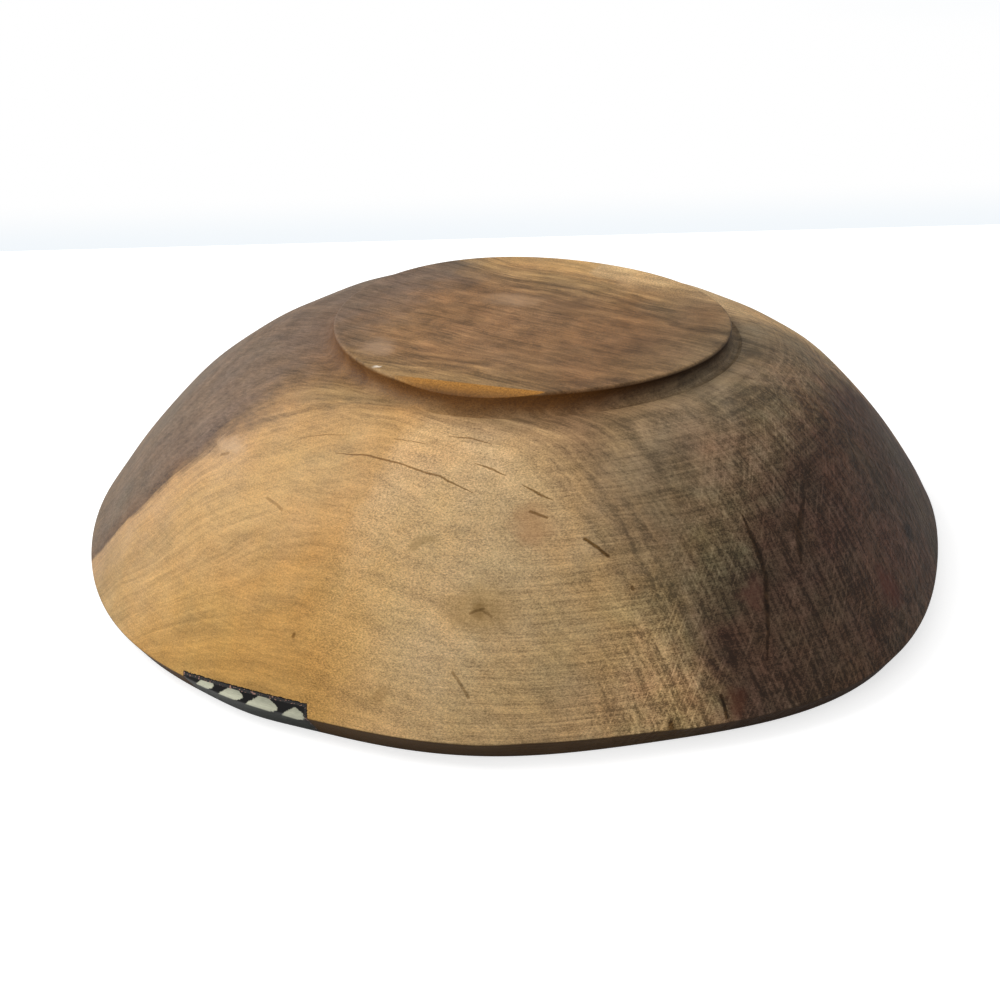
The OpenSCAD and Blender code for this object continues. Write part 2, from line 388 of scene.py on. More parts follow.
def foot_rings(shape, angle):
    """Rings of the foot's face, its worn edge and the neck below, with their places in the skin map.

    The face lies a little hollow. The edge is a quarter circle. The neck is a cove, 1 - cos out and sin down,
    which bites in under the edge and down beside it at the right, and deeper below the flat cut."""
    sizes = shape.sizes
    part = np.concatenate([np.linspace(0.06, 0.84, 12), np.linspace(0.87, 1, 13)])[:, None]
    radius = part * (shape.foot_radius(angle) - sizes.foot_edge)
    flat = shape.foot_middle + radius[..., None] * spoke(angle)
    ridges = 1 + np.cos(flat[..., 1] / (9 * MM) + np.cos(flat[..., 0] / (23 * MM)))
    planed = PLANE_HEIGHT * (1 - part**6) * ridges
    face = shape.placed(flat, sizes.bowl_height - planed)

    turn = np.radians(np.linspace(18, 90, 5))[:, None]
    edge_height = sizes.bowl_height - sizes.foot_edge * (1 - np.cos(turn))
    edge = shape.foot_ring(angle[None, :], sizes.foot_edge * (np.sin(turn) - 1), edge_height)

    t = np.linspace(0, 1, 20)[1:, None]
    knife = ease(np.cos(angle - KNIFE_TURN), 0.35, 0.85)
    gouge = bell(angle, GOUGE_TURN, GOUGE_HALF_WIDTH)
    soft = bell(angle, SOFT_TURN, SOFT_HALF_WIDTH)
    cove = sizes.foot_cove * (1 - 0.25 * knife + 0.45 * soft)
    out = cove * (1 - np.cos(t * math.pi / 2)) - sizes.undercut * knife * np.sin(t * math.pi) ** 0.8
    drop = (sizes.foot_side + sizes.foot_cove - sizes.foot_edge) * np.sin(t * math.pi / 2)
    trench = (sizes.groove * knife + sizes.scoop * gouge) * np.sin(math.pi * t**3)
    neck = shape.foot_ring(angle[None, :], out, sizes.bowl_height - sizes.foot_edge - drop - trench)

    rings = np.concatenate([face, edge, neck])
    way = rings[..., :2] + shape.rim_middle - shape.foot_middle
    reach = way @ spoke(SHAVE_TURN) - (shape.foot_radius(SHAVE_TURN) - sizes.shave_width)
    cut = sizes.bowl_height - math.tan(SHAVE_SLOPE) * reach
    rings[..., 2] = np.minimum(rings[..., 2], cut)
    edge_places = np.linspace(FACE_START + 0.92, NECK_START, 5)
    return rings, np.concatenate([FACE_START + part[:, 0] * 0.9, edge_places, NECK_START + t[:, 0]])


def wall_rings(shape, angle):
    """Rings of the wall with the low waves that the carving left, and a flat cut at the front of its lower
    edge. The waves fade at the neck and the rim."""
    sizes = shape.sizes
    part = np.concatenate([np.linspace(0, 0.965, 80)[1:], np.linspace(0.97, 0.9975, 20)])[:, None]
    points = shape.wall(angle[None, :], part)
    across = np.roll(points, -1, axis=1) - np.roll(points, 1, axis=1)
    down = np.gradient(points, axis=0)
    outward = np.cross(down, across)
    outward /= np.linalg.norm(outward, axis=-1, keepdims=True)
    marks = tool_waves(angle, part, WALL_WAVES)
    fade = ease(part, 0, 0.15) * ease(1 - part, 0, 0.1)
    points += outward * (marks * fade * sizes.tool_marks / 2)[..., None]

    flat = ease(angle, *CHAMFER_COMES) * ease(-angle, -CHAMFER_GOES[1], -CHAMFER_GOES[0])
    cut = sizes.rim_chamfer * flat * np.clip((part - 0.984) / 0.016, 0, 1)
    points[..., :2] -= spoke(angle) * cut[..., None]
    edge = shape.wall(angle, 1.0)
    edge[..., :2] -= spoke(angle) * (sizes.rim_chamfer * flat)[..., None]
    return points, WALL_START + part[:, 0], edge


def bowl_rings(shape):
    """All rings of the bowl's skin: from the foot's face down the outside, under the rim, up the hollow."""
    sizes = shape.sizes
    angle = np.linspace(0, 2 * math.pi, COLUMNS, endpoint=False)
    foot, foot_places = foot_rings(shape, angle)
    wall, wall_places, arris = wall_rings(shape, angle)

    radius = shape.rim_radius(angle)
    land = shape.placed((radius - sizes.lip_lean)[:, None] * spoke(angle), 0.0)
    inner = shape.hollow(angle, 1.0)
    part = np.linspace(0.985, 0.04, 56)[:, None]
    hollow = shape.hollow(angle[None, :], part)
    gouges = tool_waves(angle, part, HOLLOW_WAVES)
    hollow[..., 2] += gouges * part**2 * (1 - part) * 4 * HOLLOW_WAVE_HEIGHT

    wear = sizes.edge_wear
    t = np.linspace(0.2, 0.8, 5)[:, None, None]
    stretches = [
        (foot, foot_places),
        (wall, wall_places),
        (fillet(wall[-1], arris, land, wear, 4), np.linspace(0.998, 1.02, 4)),
        (arris * (1 - t) + land * t, LIP_START + t[:, 0, 0]),
        (fillet(arris, land, inner, wear, 3), np.linspace(1.95, LAND_START + 0.1, 3)),
        (land + (inner - land) * 0.5, np.array([LAND_START + 0.5])),
        (fillet(land, inner, hollow[0], wear, 3), np.linspace(2.9, HOLLOW_START + 0.02, 3)),
        (hollow, HOLLOW_START + 1 - part[:, 0] * 0.95),
    ]
    rings = np.concatenate([np.asarray(points).reshape(-1, COLUMNS, 3) for points, _ in stretches])
    return rings, np.concatenate([places for _, places in stretches])


def closed_skin(name, rings, places, first_pole, last_pole):
    """A mesh of a stack of rings: a grid of quads that goes round, with a fan at each end.

    Its map "skin" holds the share of the way round and the place down the profile."""
    count, columns = rings.shape[:2]
    points = np.concatenate([[first_pole], rings.reshape(-1, 3), [last_pole]])
    around = np.arange(columns)
    ring, column = (index.ravel() for index in np.meshgrid(np.arange(count - 1), around, indexing="ij"))
    turn, step = around / columns, 1 / columns
    ways = ((0, 0), (1, 0), (1, 1), (0, 1))

    def corner(at_ring, at_column):
        return 1 + at_ring * columns + at_column % columns

    def fan(pole, at_ring, ends):
        return np.stack([np.full(columns, pole), *(corner(at_ring, around + end) for end in ends)], axis=1)

    def fan_map(pole, edge, ends):
        turns = [turn + step / 2, *(turn + step * end for end in ends)]
        downs = [np.full(columns, down) for down in (pole, edge, edge)]
        return np.stack([np.stack(turns, axis=1), np.stack(downs, axis=1)], axis=2).reshape(-1, 2)

    quads = np.stack([corner(ring + down, column + on) for down, on in ways], axis=1)
    fans = fan(0, 0, (0, 1)).tolist() + fan(len(points) - 1, count - 1, (1, 0)).tolist()
    mesh = bpy.data.meshes.new(name)
    mesh.from_pydata(points, [], quads.tolist() + fans)

    quad_map = [np.stack([turn[column] + step * on, places[ring + down]], axis=1) for down, on in ways]
    corners = [np.stack(quad_map, axis=1).reshape(-1, 2)]
    corners += [fan_map(FACE_START, places[0], (0, 1)), fan_map(HOLLOW_END, places[-1], (1, 0))]
    skin = mesh.uv_layers.new(name="skin")
    skin.uv.foreach_set("vector", np.concatenate(corners).astype(np.float32).ravel())
    return mesh


def link(name, data):
    """A new object at the origin that holds a mesh, a lamp or a camera."""
    piece = bpy.data.objects.new(name, data)
    bpy.context.scene.collection.objects.link(piece)
    return piece


def saw_block(shape, end_gap=0.0, floor_gap=0.0):
    """The block that a saw cut takes away at the inlay: open at the rim, right through the wall and a little
    past it, and short of the pocket by a gap at each end and at its floor.

    Its ends lean, so x moves back by the lean's tangent times y."""
    width = shape.inlay.pocket_length - 2 * end_gap
    low = np.array([-width / 2, -SAW_REACH, -SAW_REACH])
    high = np.array([width / 2, shape.inlay.pocket_height - floor_gap, SAW_OVER])
    pick = np.array([[x, y, z] for x in (0, 1) for y in (0, 1) for z in (0, 1)])
    corners = np.where(pick, high, low)
    corners[:, 0] -= math.tan(POCKET_LEAN) * corners[:, 1]
    faces = [(0, 1, 3, 2), (4, 6, 7, 5), (0, 4, 5, 1), (2, 3, 7, 6), (0, 2, 6, 4), (1, 5, 7, 3)]
    mesh = bpy.data.meshes.new("saw_block")
    mesh.from_pydata(corners, [], faces)
    mesh.transform(shape.inlay_frame())
    return link("saw_block", mesh)


def bar_block(shape):
    """The block of the bar: the pocket's, less the glue round it."""
    return saw_block(shape, shape.inlay.glue_end, shape.inlay.glue_floor)


def apply_modifiers(piece):
    """Replaces the piece's mesh by the one that its modifiers give."""
    bpy.context.view_layer.update()
    finished = piece.evaluated_get(bpy.context.evaluated_depsgraph_get())
    mesh = bpy.data.meshes.new_from_object(finished)
    mesh.name = piece.name
    piece.modifiers.clear()
    piece.data = mesh


def cut(piece, block, operation):
    """Cuts the piece by a closed block, applies the result and removes the block."""
    modifier = piece.modifiers.new("Cut", "BOOLEAN")
    modifier.operation = operation
    modifier.solver = "MANIFOLD"
    modifier.object = block
    apply_modifiers(piece)
    mesh = block.data
    bpy.data.objects.remove(block)
    bpy.data.meshes.remove(mesh)
    if not piece.data.vertices:
        raise RuntimeError(f"the cut left nothing of {piece.name}")


def finish_piece(piece, sharp, material, node):
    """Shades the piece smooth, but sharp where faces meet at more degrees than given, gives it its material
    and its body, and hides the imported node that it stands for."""
    piece.data.shade_smooth()
    piece.data.set_sharp_from_angle(angle=math.radians(sharp))
    piece.data.materials.clear()
    piece.data.materials.append(material)
    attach(piece, BODY)
    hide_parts(node)


class Shader:
    """Adds nodes to a tree. Each method makes one node, or two where it says so, and returns the output."""

    def __init__(self, tree):
        self.tree = tree

    def feed(self, socket, value):
        """Links an output to the socket, or sets the socket's own value."""
        if isinstance(value, bpy.types.NodeSocket):
            self.tree.links.new(value, socket)
        elif socket.type == "RGBA" and len(value) == 3:
            socket.default_value = (*value, 1)
        else:
            socket.default_value = value

    def node(self, kind, inputs=None, **settings):
        """Any kind of node, with its settings set and its inputs fed."""
        node = self.tree.nodes.new(kind)
        for name, value in settings.items():
            setattr(node, name, value)
        for key, value in (inputs or {}).items():
            self.feed(node.inputs[key], value)
        return node

    def compute(self, operation, *values):
        """A sum on numbers, or on vectors where one of the values is a vector or a colour."""
        vectors = any(
            value.type in {"VECTOR", "RGBA"} if isinstance(value, bpy.types.NodeSocket) else np.ndim(value)
            for value in values
        )
        kind = "ShaderNodeVectorMath" if vectors else "ShaderNodeMath"
        node = self.node(kind, dict(enumerate(values)), operation=operation)
        return node.outputs["Value" if operation in {"LENGTH", "DOT_PRODUCT"} else 0]

    times = partialmethod(compute, "MULTIPLY")
    over = partialmethod(compute, "DIVIDE")
    plus = partialmethod(compute, "ADD")
    minus = partialmethod(compute, "SUBTRACT")
    times_plus = partialmethod(compute, "MULTIPLY_ADD")
    larger = partialmethod(compute, "MAXIMUM")
    smaller = partialmethod(compute, "MINIMUM")
    size = partialmethod(compute, "LENGTH")
    dot = partialmethod(compute, "DOT_PRODUCT")

    def scale(self, vector, factor):
        """A vector or a colour times a number that may change over the surface."""
        return self.node("ShaderNodeVectorMath", {0: vector, "Scale": factor}, operation="SCALE").outputs[0]

    def split(self, vector):
        """The three numbers of a vector."""
        return self.node("ShaderNodeSeparateXYZ", {0: vector}).outputs

    def join(self, x, y, z):
        """A vector of three numbers."""
        return self.node("ShaderNodeCombineXYZ", {0: x, 1: y, 2: z}).outputs[0]

    def lean(self, amount, change, start=(1.0, 1.0, 1.0)):
        """Factors for red, green and blue: the start plus the amount times the change. Two nodes."""
        return self.times_plus(self.join(amount, amount, amount), change, start)

    def place(self):
        """The point in the piece's own coordinates, in metres."""
        return self.node("ShaderNodeTexCoord").outputs["Object"]

    def noise(self, vector, scale=1.0, detail=2.0, roughness=0.5, distortion=0.0, colour=False):
        """Noise from 0 to 1: a number, or three of them where colour is asked for."""
        inputs = {"Vector": vector, "Scale": scale, "Detail": detail}
        inputs |= {"Roughness": roughness, "Distortion": distortion}
        return self.node("ShaderNodeTexNoise", inputs).outputs[1 if colour else 0]

    def swing(self, vector, *args, colour=False):
        """Noise that swings round 0. Two nodes."""
        return self.minus(self.noise(vector, *args, colour=colour), (0.5, 0.5, 0.5) if colour else 0.5)

    def spread(self, value, low, high, start=0.0, end=1.0, kind="SMOOTHSTEP"):
        """Maps low..high to start..end and stops at both."""
        inputs = {0: value, 1: low, 2: high, 3: start, 4: end}
        return self.node("ShaderNodeMapRange", inputs, interpolation_type=kind).outputs[0]

    def ramp(self, value, stops):
        """A colour ramp with a stop at each value."""
        node = self.node("ShaderNodeValToRGB", {0: value})
        elements = node.color_ramp.elements
        while len(elements) < len(stops):
            elements.new(0.5)
        for element, (place, shade) in zip(elements, stops):
            element.position = place
            element.color = (*shade, 1)
        return node.outputs[0]

    def mix(self, factor, first, second):
        """The first colour where the factor is 0 and the second where it is 1."""
        return self.node("ShaderNodeMix", {0: factor, 6: first, 7: second}, data_type="RGBA").outputs[2]

    def mask(self, group, **inputs):
        """The mask that a node group gives."""
        return self.node("ShaderNodeGroup", inputs, node_tree=group).outputs[0]


def mask_group(name, vectors, numbers=()):
    """An empty node group that takes vectors and numbers and gives one mask: the group, its Shader, its
    inputs and the socket of its mask."""
    group = bpy.data.node_groups.new(name, "ShaderNodeTree")
    sockets = [(socket, "Vector", "INPUT") for socket in vectors]
    sockets += [(socket, "Float", "INPUT") for socket in numbers]
    for socket, kind, side in (*sockets, ("Mask", "Float", "OUTPUT")):
        group.interface.new_socket(name=socket, in_out=side, socket_type="NodeSocket" + kind)
    shader = Shader(group)
    taken = shader.node("NodeGroupInput").outputs
    return group, shader, taken, shader.node("NodeGroupOutput").inputs["Mask"]


def blotch_group():
    """A soft spot: 1 within its middle, 0 past its size, measured along three axes."""
    group, shader, taken, mask = mask_group("Soft blotch", ("Vector", "Middle", "Size"))
    away = shader.minus(taken["Vector"], taken["Middle"])
    shader.feed(mask, shader.spread(shader.size(shader.over(away, taken["Size"])), 1.0, 0.25))
    return group


def hairline_group():
    """A fine line between two places of the skin map: 1 on it and 0 past its width, by the distance in
    millimetres to the nearest place of the stretch between its ends. Its width runs from First to Last."""
    vectors = ("Vector", "Wander", "Start", "End", "Scale")
    group, shader, taken, mask = mask_group("Hairline", vectors, ("First", "Last"))
    way = shader.times(shader.minus(taken["End"], taken["Start"]), taken["Scale"])
    away = shader.minus(taken["Vector"], taken["Start"])
    away = shader.times_plus(away, taken["Scale"], taken["Wander"])
    part = shader.over(shader.dot(away, way), shader.dot(way, way))
    part.node.use_clamp = True
    gap = shader.size(shader.minus(away, shader.scale(way, part)))
    width = shader.times_plus(shader.minus(taken["Last"], taken["First"]), part, taken["First"])
    shader.feed(mask, shader.spread(shader.over(gap, width), 1.0, 0.3))
    return group


def empty_tree(owner):
    """The Shader of a material's or a sky's own tree, with its first nodes removed."""
    owner.use_nodes = True
    owner.node_tree.nodes.clear()
    return Shader(owner.node_tree)


def new_material(name):
    """A plain material: its Shader and its Principled node."""
    material = bpy.data.materials.new(name)
    shader = empty_tree(material)
    surface = shader.node("ShaderNodeBsdfPrincipled")
    shader.node("ShaderNodeOutputMaterial", {0: surface.outputs[0]})
    return material, shader, surface


# Each finish: its gloss, the strength of its relief and the relief's depth
WOOD_FINISH = (0.16, 0.6, 0.25 * MM)
BONE_FINISH = (0.25, 0.25, 0.08 * MM)
GLUE_FINISH = (0.5, 0.6, 0.3 * MM)


def dress(shader, surface, look, roughness, height, finish):
    """Feeds a surface its colour, its roughness, its relief and its finish."""
    gloss, strength, depth = finish
    bump = shader.node("ShaderNodeBump", {"Height": height, "Strength": strength, "Distance": depth})
    shader.feed(surface.inputs["Base Color"], look)
    shader.feed(surface.inputs["Roughness"], roughness)
    shader.feed(surface.inputs["Normal"], bump.outputs[0])
    surface.inputs["Specular IOR Level"].default_value = gloss


# The log that the bowl was carved from, in millimetres. Its axis lies level, turned by LOG_TURN, through
# LOG_MIDDLE. The heartwood's radius grows at the front towards the left by LOG_FLARE per squared distance.
LOG_TURN = math.radians(31.4)
LOG_MIDDLE = (0.0, 3.6, 20.6)
LOG_FLARE = 0.0007
LOG_FLARE_START = 118.6
HEART_RADIUS = 66.3
LOG_ENDS = (-130.0, 130.0)

# Noise that unsettles the log: its scale, its detail and its roughness, and how far it moves the figure
WIDE_NOISE, WIDE_REACH = (0.035, 1.0, 0.5), 6.0
FINE_NOISE, FINE_REACH = (0.13, 3.0, 0.6), 1.2

# Directions of the sanding scratches on the dark end: rising to the right, and straight down the wall
SLANT_ACROSS, SLANT_ALONG = (0.829, 0.136, -0.542), (0.221, 0.81, 0.542)
FALL_ACROSS, FALL_ALONG = (0.743, 0.669, 0.0), (-0.43, 0.476, 0.766)

# Length of the wall's profile in millimetres, for the hairlines
WALL_LENGTH = 100.0

# Hairlines in the wood: width in millimetres, strength, and the places they join, each as degrees round the
# bowl and the share of the way down the wall
HAIRLINES = (
    (0.35, 0.55, ((220.4, 0.305), (224.8, 0.257), (229.8, 0.223))),
    (0.45, 0.85, ((229.9, 0.309), (237.3, 0.288), (244.0, 0.297), (252.8, 0.325), (259.8, 0.374))),
    (0.45, 0.8, ((250.8, 0.139), (255.9, 0.139), (261.2, 0.165))),
    (0.35, 0.6, ((239.9, 0.195), (246.8, 0.195))),
    (0.5, 0.85, ((258.8, 0.257), (262.0, 0.28), (265.4, 0.306))),
    (0.5, 0.85, ((268.6, 0.341), (271.7, 0.372), (274.4, 0.398))),
    (0.55, 0.8, ((270.5, 0.432), (273.3, 0.456))),
    (0.6, 1.0, ((279.6, 0.528), (283.2, 0.582))),
    (0.45, 0.6, ((261.0, 0.854), (263.2, 0.903))),
    (0.5, 0.5, ((223.6, 0.527), (227.5, 0.54))),
    (0.6, 0.5, ((207.5, 0.489), (208.8, 0.473))),
    (0.8, 0.9, ((306.4, 0.53), (306.2, 0.62), (306.1, 0.7), (304.6, 0.782), (302.8, 0.89))),
    (1.5, 0.8, ((318.5, 0.55), (314.2, 0.62), (312.2, 0.7))),
    (0.55, 1.0, ((295.8, 0.945), (295.9, 0.99))),
    (0.9, 1.0, ((289.0, 0.985), (289.1, 1.0))),
    (0.6, 0.8, ((238.1, 0.829), (238.1, 0.833))),
    (0.6, 0.8, ((286.3, 0.671), (286.3, 0.675))),
    (0.45, 0.6, ((262.3, 0.716), (264.3, 0.703))),
    (0.4, 0.5, ((264.0, 0.706), (265.4, 0.72))),
)
# Hairlines from this strength up are cut into the wood as well
CUT_STRENGTH = 0.95

# Spots in the wood: place as above, size in millimetres, display colour and strength
SPOTS = (
    (263.7, 0.707, (12, 12, 9), (158, 126, 74), 0.5),
    (263.7, 0.707, (3.5, 3.5, 2.6), (120, 90, 42), 0.55),
    (337.2, 0.846, (5, 5, 5), (34, 24, 20), 0.85),
    (325.0, 0.868, (7, 6, 10), (88, 46, 36), 0.6),
    (297.4, 0.958, (5, 5, 5), (84, 44, 28), 0.6),
    (303.6, 0.741, (6, 6, 6), (104, 66, 54), 0.45),
    (270.4, 0.476, (8, 8, 8), (176, 132, 90), 0.55),
    (253.0, 0.545, (7, 3, 2), (158, 130, 84), 0.6),
    (251.5, 0.92, (4, 3, 5), (148, 112, 62), 0.5),
    (208.0, 0.44, (9, 8, 4), (200, 170, 138), 0.5),
    (206.2, 0.36, (12, 7, 5), (112, 90, 70), 0.4),
    (204, -0.84, (8, 9, 4), (190, 160, 132), 0.4),
    (105, -0.27, (13, 8, 4), (176, 148, 120), 0.35),
    (33.8, -0.3, (15, 6, 4), (104, 77, 52), 0.5),
    (66, -0.37, (9, 5, 4), (104, 78, 52), 0.4),
    (160, -0.55, (12, 4, 4), (120, 90, 62), 0.4),
    (219.4, -0.972, (1.8, 1.0, 2), (240, 226, 208), 0.9),
)

# Colours along the log, each at its place in millimetres. Towards the right they are darker wood, and partly
# painted shade of the bowl's right side, which faces away from the window
HEART_STOPS = (
    (-98, "heart_grey"),
    (-66, "heart_rose"),
    (-50, "heart_rose"),
    (-28, "heart_brown"),
    (35, "heart_brown"),
    (58, "heart_olive"),
    (86, "umber"),
    (96, "dark_end"),
)
SAP_STOPS = (
    (-90, "sap_far"),
    (-50, "sap_gold"),
    (2, "sap_gold"),
    (7, "sap_pale"),
    (36, "sap_pale"),
    (90, "sap_tan"),
    (107, "dark_end"),
)

# Stretches along the log, each from where a change starts to where it is whole: the dark end, the fine level
# lines, the combed sapwood, the heartwood's rings, the dark band, the tan edge, and the deep gold's two ends
DARK_SPAN = (62.0, 96.0)
LEVEL_SPAN = (25.0, 70.0)
COMBED_SPAN = (10.0, -5.0)
RINGS_SPAN = (-60.0, -20.0)
BAND_SPAN = (-25.0, -60.0)
TAN_SPAN = (45.0, 10.0)
GOLD_SPANS = ((34.0, 4.0), (-70.0, -35.0))

# Where the glue ran down on the lip: past the pocket's end, below the wall's edge and behind its face. Then
# the size of that run in millimetres
GLUE_RUN = (1.2 * MM, 3 * MM, 1.5 * MM)
GLUE_RUN_SIZE = (3.0, 3.0, 3.0)

# How far each layer covers the wood below it; the lip's layer is painted shade
BAND_STRENGTH, FLUSH_STRENGTH, TAN_STRENGTH, SHAVED_STRENGTH, LIP_STRENGTH = 0.6, 0.5, 0.75, 0.85, 0.93

# What a layer adds to the wood's factors of red, green and blue
GREYER = (0.0, 0.14, 0.34)
WARMER = (0.16, 0.0, -0.3)
REDDER = (0.7, -0.1, 0.1)
DARKER_FOOT = (-0.24, -0.3, -0.36)
# Painted shade, darkening the wall's lower edge at the front left below the inlay
HEM_SHADE = (-0.13, -0.14, -0.18)

# The share of the wood's red, green and blue that is left in a check or a crack
CHECK_SHADE = (0.34, 0.27, 0.16)


class WoodFigure:
    """The wood's figure as a solid of the log: heartwood inside a radius and sapwood outside it, growth rings
    along that radius, fibres along the log, and the scratches and marks of the bowl's own surface."""

    def __init__(self, shader, shape, colours, inlay_colours):
        self.shader = shader
        self.shape = shape
        self.colours = colours
        self.inlay_colours = inlay_colours
        self.blotch = blotch_group()
        place = shader.place()
        self.turn, self.down, _ = shader.split(shader.node("ShaderNodeUVMap", uv_map="skin").outputs[0])
        self.point = shader.scale(place, 1 / MM)
        self.find_log()

    def find_log(self):
        """The log's own axes: along it, and the distance from its heart, unsettled by two sizes of noise."""
        shader = self.shader
        middle = tuple(-part for part in LOG_MIDDLE)
        mapping = {"Vector": self.point, "Rotation": (0, 0, LOG_TURN), "Location": middle}
        straight = shader.node("ShaderNodeMapping", mapping).outputs[0]
        self.wide = shader.swing(straight, *WIDE_NOISE, colour=True)
        self.fine = shader.swing(straight, *FINE_NOISE, colour=True)
        calm = shader.plus(straight, shader.scale(self.wide, WIDE_REACH))
        self.calm = shader.plus(calm, shader.scale(self.fine, FINE_REACH))
        along, across, up = shader.split(self.calm)
        left = shader.smaller(shader.minus(along, LOG_FLARE_START), 0.0)
        flare = shader.times(shader.times(left, left), LOG_FLARE)
        side = shader.times_plus(flare, shader.spread(across, 0.0, -25.0), across)
        self.depth = shader.size(shader.join(0.0, side, up))
        shift = shader.split(self.fine)
        self.radius = shader.times_plus(shift[0], 6.0, self.depth)
        self.along = shader.times_plus(shift[2], 5.0, along)
        self.rings = self.streaks(shader.times(self.depth, 0.5), shader.times(along, 0.02), 5.0)
        self.lines = self.streaks(shader.times(self.depth, 1.7), shader.times(along, 0.05), 3.0)

    def streaks(self, across, along, detail):
        """Noise that is drawn out along one of two measures of the surface."""
        return self.shader.swing(self.shader.join(across, along, 0.0), 1.0, detail, 0.6)

    def base_colour(self):
        """Heartwood and sapwood, each with its own change of colour along the log, and a dark band between
        them. Beside the band the sapwood is flushed at the left, and the heartwood tan elsewhere."""
        shader, colours = self.shader, self.colours
        low, high = LOG_ENDS
        drift = shader.times_plus(shader.split(self.fine)[0], 12.0, self.along)
        behind = shader.spread(self.facing(BACK_SIDE), -0.2, 0.7, 0.0, 90.0)
        drift = shader.times_plus(shader.split(self.wide)[1], behind, drift)
        part = shader.spread(drift, low, high, kind="LINEAR")
        heart, sap = (
            shader.ramp(part, [((at - low) / (high - low), getattr(colours, name)) for at, name in stops])
            for stops in (HEART_STOPS, SAP_STOPS)
        )
        deep = shader.spread(self.radius, 82.0, 108.0)
        for span in GOLD_SPANS:
            deep = shader.times(deep, shader.spread(drift, *span))
        sap = shader.mix(deep, sap, colours.sap_deep)
        blur = shader.spread(self.along, -88.0, -30.0, 1.4, 7.0)
        past = shader.times_plus(self.rings, 9.0, shader.minus(self.radius, HEART_RADIUS))
        self.sap_mask = shader.spread(shader.over(past, blur), -1.0, 1.0)
        wood = shader.mix(self.sap_mask, heart, sap)
        left = shader.spread(self.along, *BAND_SPAN)
        frayed = shader.times_plus(self.lines, 30.0, past)
        band = shader.times(shader.spread(frayed, -8.0, -1.0), shader.spread(past, 2.0, -1.0))
        band = shader.times(shader.times(band, left), BAND_STRENGTH)
        wood = shader.mix(band, wood, colours.edge_band)
        flushed = shader.times(shader.spread(past, 16.0, 2.0), shader.times(left, FLUSH_STRENGTH))
        wood = shader.mix(shader.times(flushed, self.sap_mask), wood, colours.flushed)
        tan = shader.times(shader.spread(past, -14.0, -2.0), shader.spread(past, 1.0, -2.0))
        tan = shader.times(tan, shader.spread(self.along, *TAN_SPAN, 0.0, TAN_STRENGTH))
        tan = shader.times(tan, shader.minus(1.0, left))
        return shader.mix(tan, wood, colours.sap_tan)

    def dotted(self, direction, factor):
        """How far the point lies in a direction, times a factor."""
        return self.shader.dot(self.point, tuple(part * factor for part in direction))

    def tone(self):
        """The figure's light and dark: growth streaks, felt-like grain, clouds and sanding scratches. Its
        lights are greyer than the wood in the dark end."""
        shader = self.shader
        self.dark = shader.spread(self.along, *DARK_SPAN)
        fibres = shader.swing(shader.times(self.calm, (0.05, 1.1, 1.1)), 1.0, 3.0, 0.7)
        self.grain = shader.swing(shader.times(self.point, (1.8, 1.8, 3.3)), 1.0, 2.0, 0.8)
        level = shader.swing(shader.times(self.point, (0.05, 0.05, 1.7)), 1.0, 3.0, 0.65)
        self.level = shader.times(level, shader.spread(self.along, *LEVEL_SPAN, 0.2, 1.0))
        slant = self.streaks(self.dotted(SLANT_ACROSS, 1.5), self.dotted(SLANT_ALONG, 0.07), 2.0)
        fall = self.streaks(self.dotted(FALL_ACROSS, 0.9), self.dotted(FALL_ALONG, 0.05), 3.0)
        hatching = shader.plus(shader.larger(slant, 0.02), shader.times(fall, 0.8))
        self.hatching = shader.times(hatching, self.dark)
        self.burl = shader.swing(self.point, 0.2, 3.0, 0.6, 1.2)

        heart = shader.minus(1.0, self.sap_mask)
        left = shader.spread(self.along, *COMBED_SPAN)
        heart_rings = shader.spread(self.along, *RINGS_SPAN, 0.1, 1.3)
        tone = shader.times(self.rings, shader.times_plus(heart, heart_rings, 0.7))
        tone = shader.times_plus(self.lines, shader.times_plus(left, 0.35, 0.25), tone)
        combed = shader.larger(left, heart)
        tone = shader.times_plus(fibres, shader.times_plus(heart, 1.1, 0.35), tone)
        felt = shader.times_plus(self.dark, 2.4, shader.times_plus(combed, -0.9, 2.2))
        tone = shader.times_plus(self.grain, felt, tone)
        tone = shader.times_plus(self.level, 1.7, tone)
        phase = shader.times_plus(self.burl, 30.0, shader.times(self.depth, 1.1))
        tone = shader.times_plus(shader.times(shader.compute("SINE", phase), self.dark), 0.17, tone)
        tone = shader.times_plus(self.hatching, 4.6, tone)
        clouds = shader.times_plus(heart, 0.5, 0.45)
        tone = shader.times_plus(shader.split(self.fine)[1], clouds, tone)
        tone = shader.times_plus(self.burl, shader.times(self.dark, 2.0), tone)
        light = shader.times(shader.larger(tone, 0.0), self.dark)
        tone = shader.larger(shader.plus(tone, 1.0), 0.5)
        return shader.lean(light, GREYER, shader.join(tone, tone, tone))

    def tint(self, wood):
        """Patches that lean to red, to green or to grey."""
        shader = self.shader
        warm, _, red = shader.split(shader.plus(self.wide, shader.scale(self.fine, 0.7)))
        factor = shader.lean(warm, WARMER)
        red = shader.times(red, shader.times_plus(self.dark, 0.6, 0.15))
        return shader.times(wood, shader.lean(red, REDDER, factor))

    def wall_place(self, degrees, part):
        """A place in millimetres: of the wall, or of the foot's face for a share below 0 of its radius."""
        angle = math.radians(degrees)
        if part >= 0:
            return (self.shape.wall(angle, part) / MM).tolist()
        flat = self.shape.foot_middle - part * self.shape.foot_radius(angle) * spoke(angle)
        return (self.shape.placed(flat, self.shape.sizes.bowl_height) / MM).tolist()

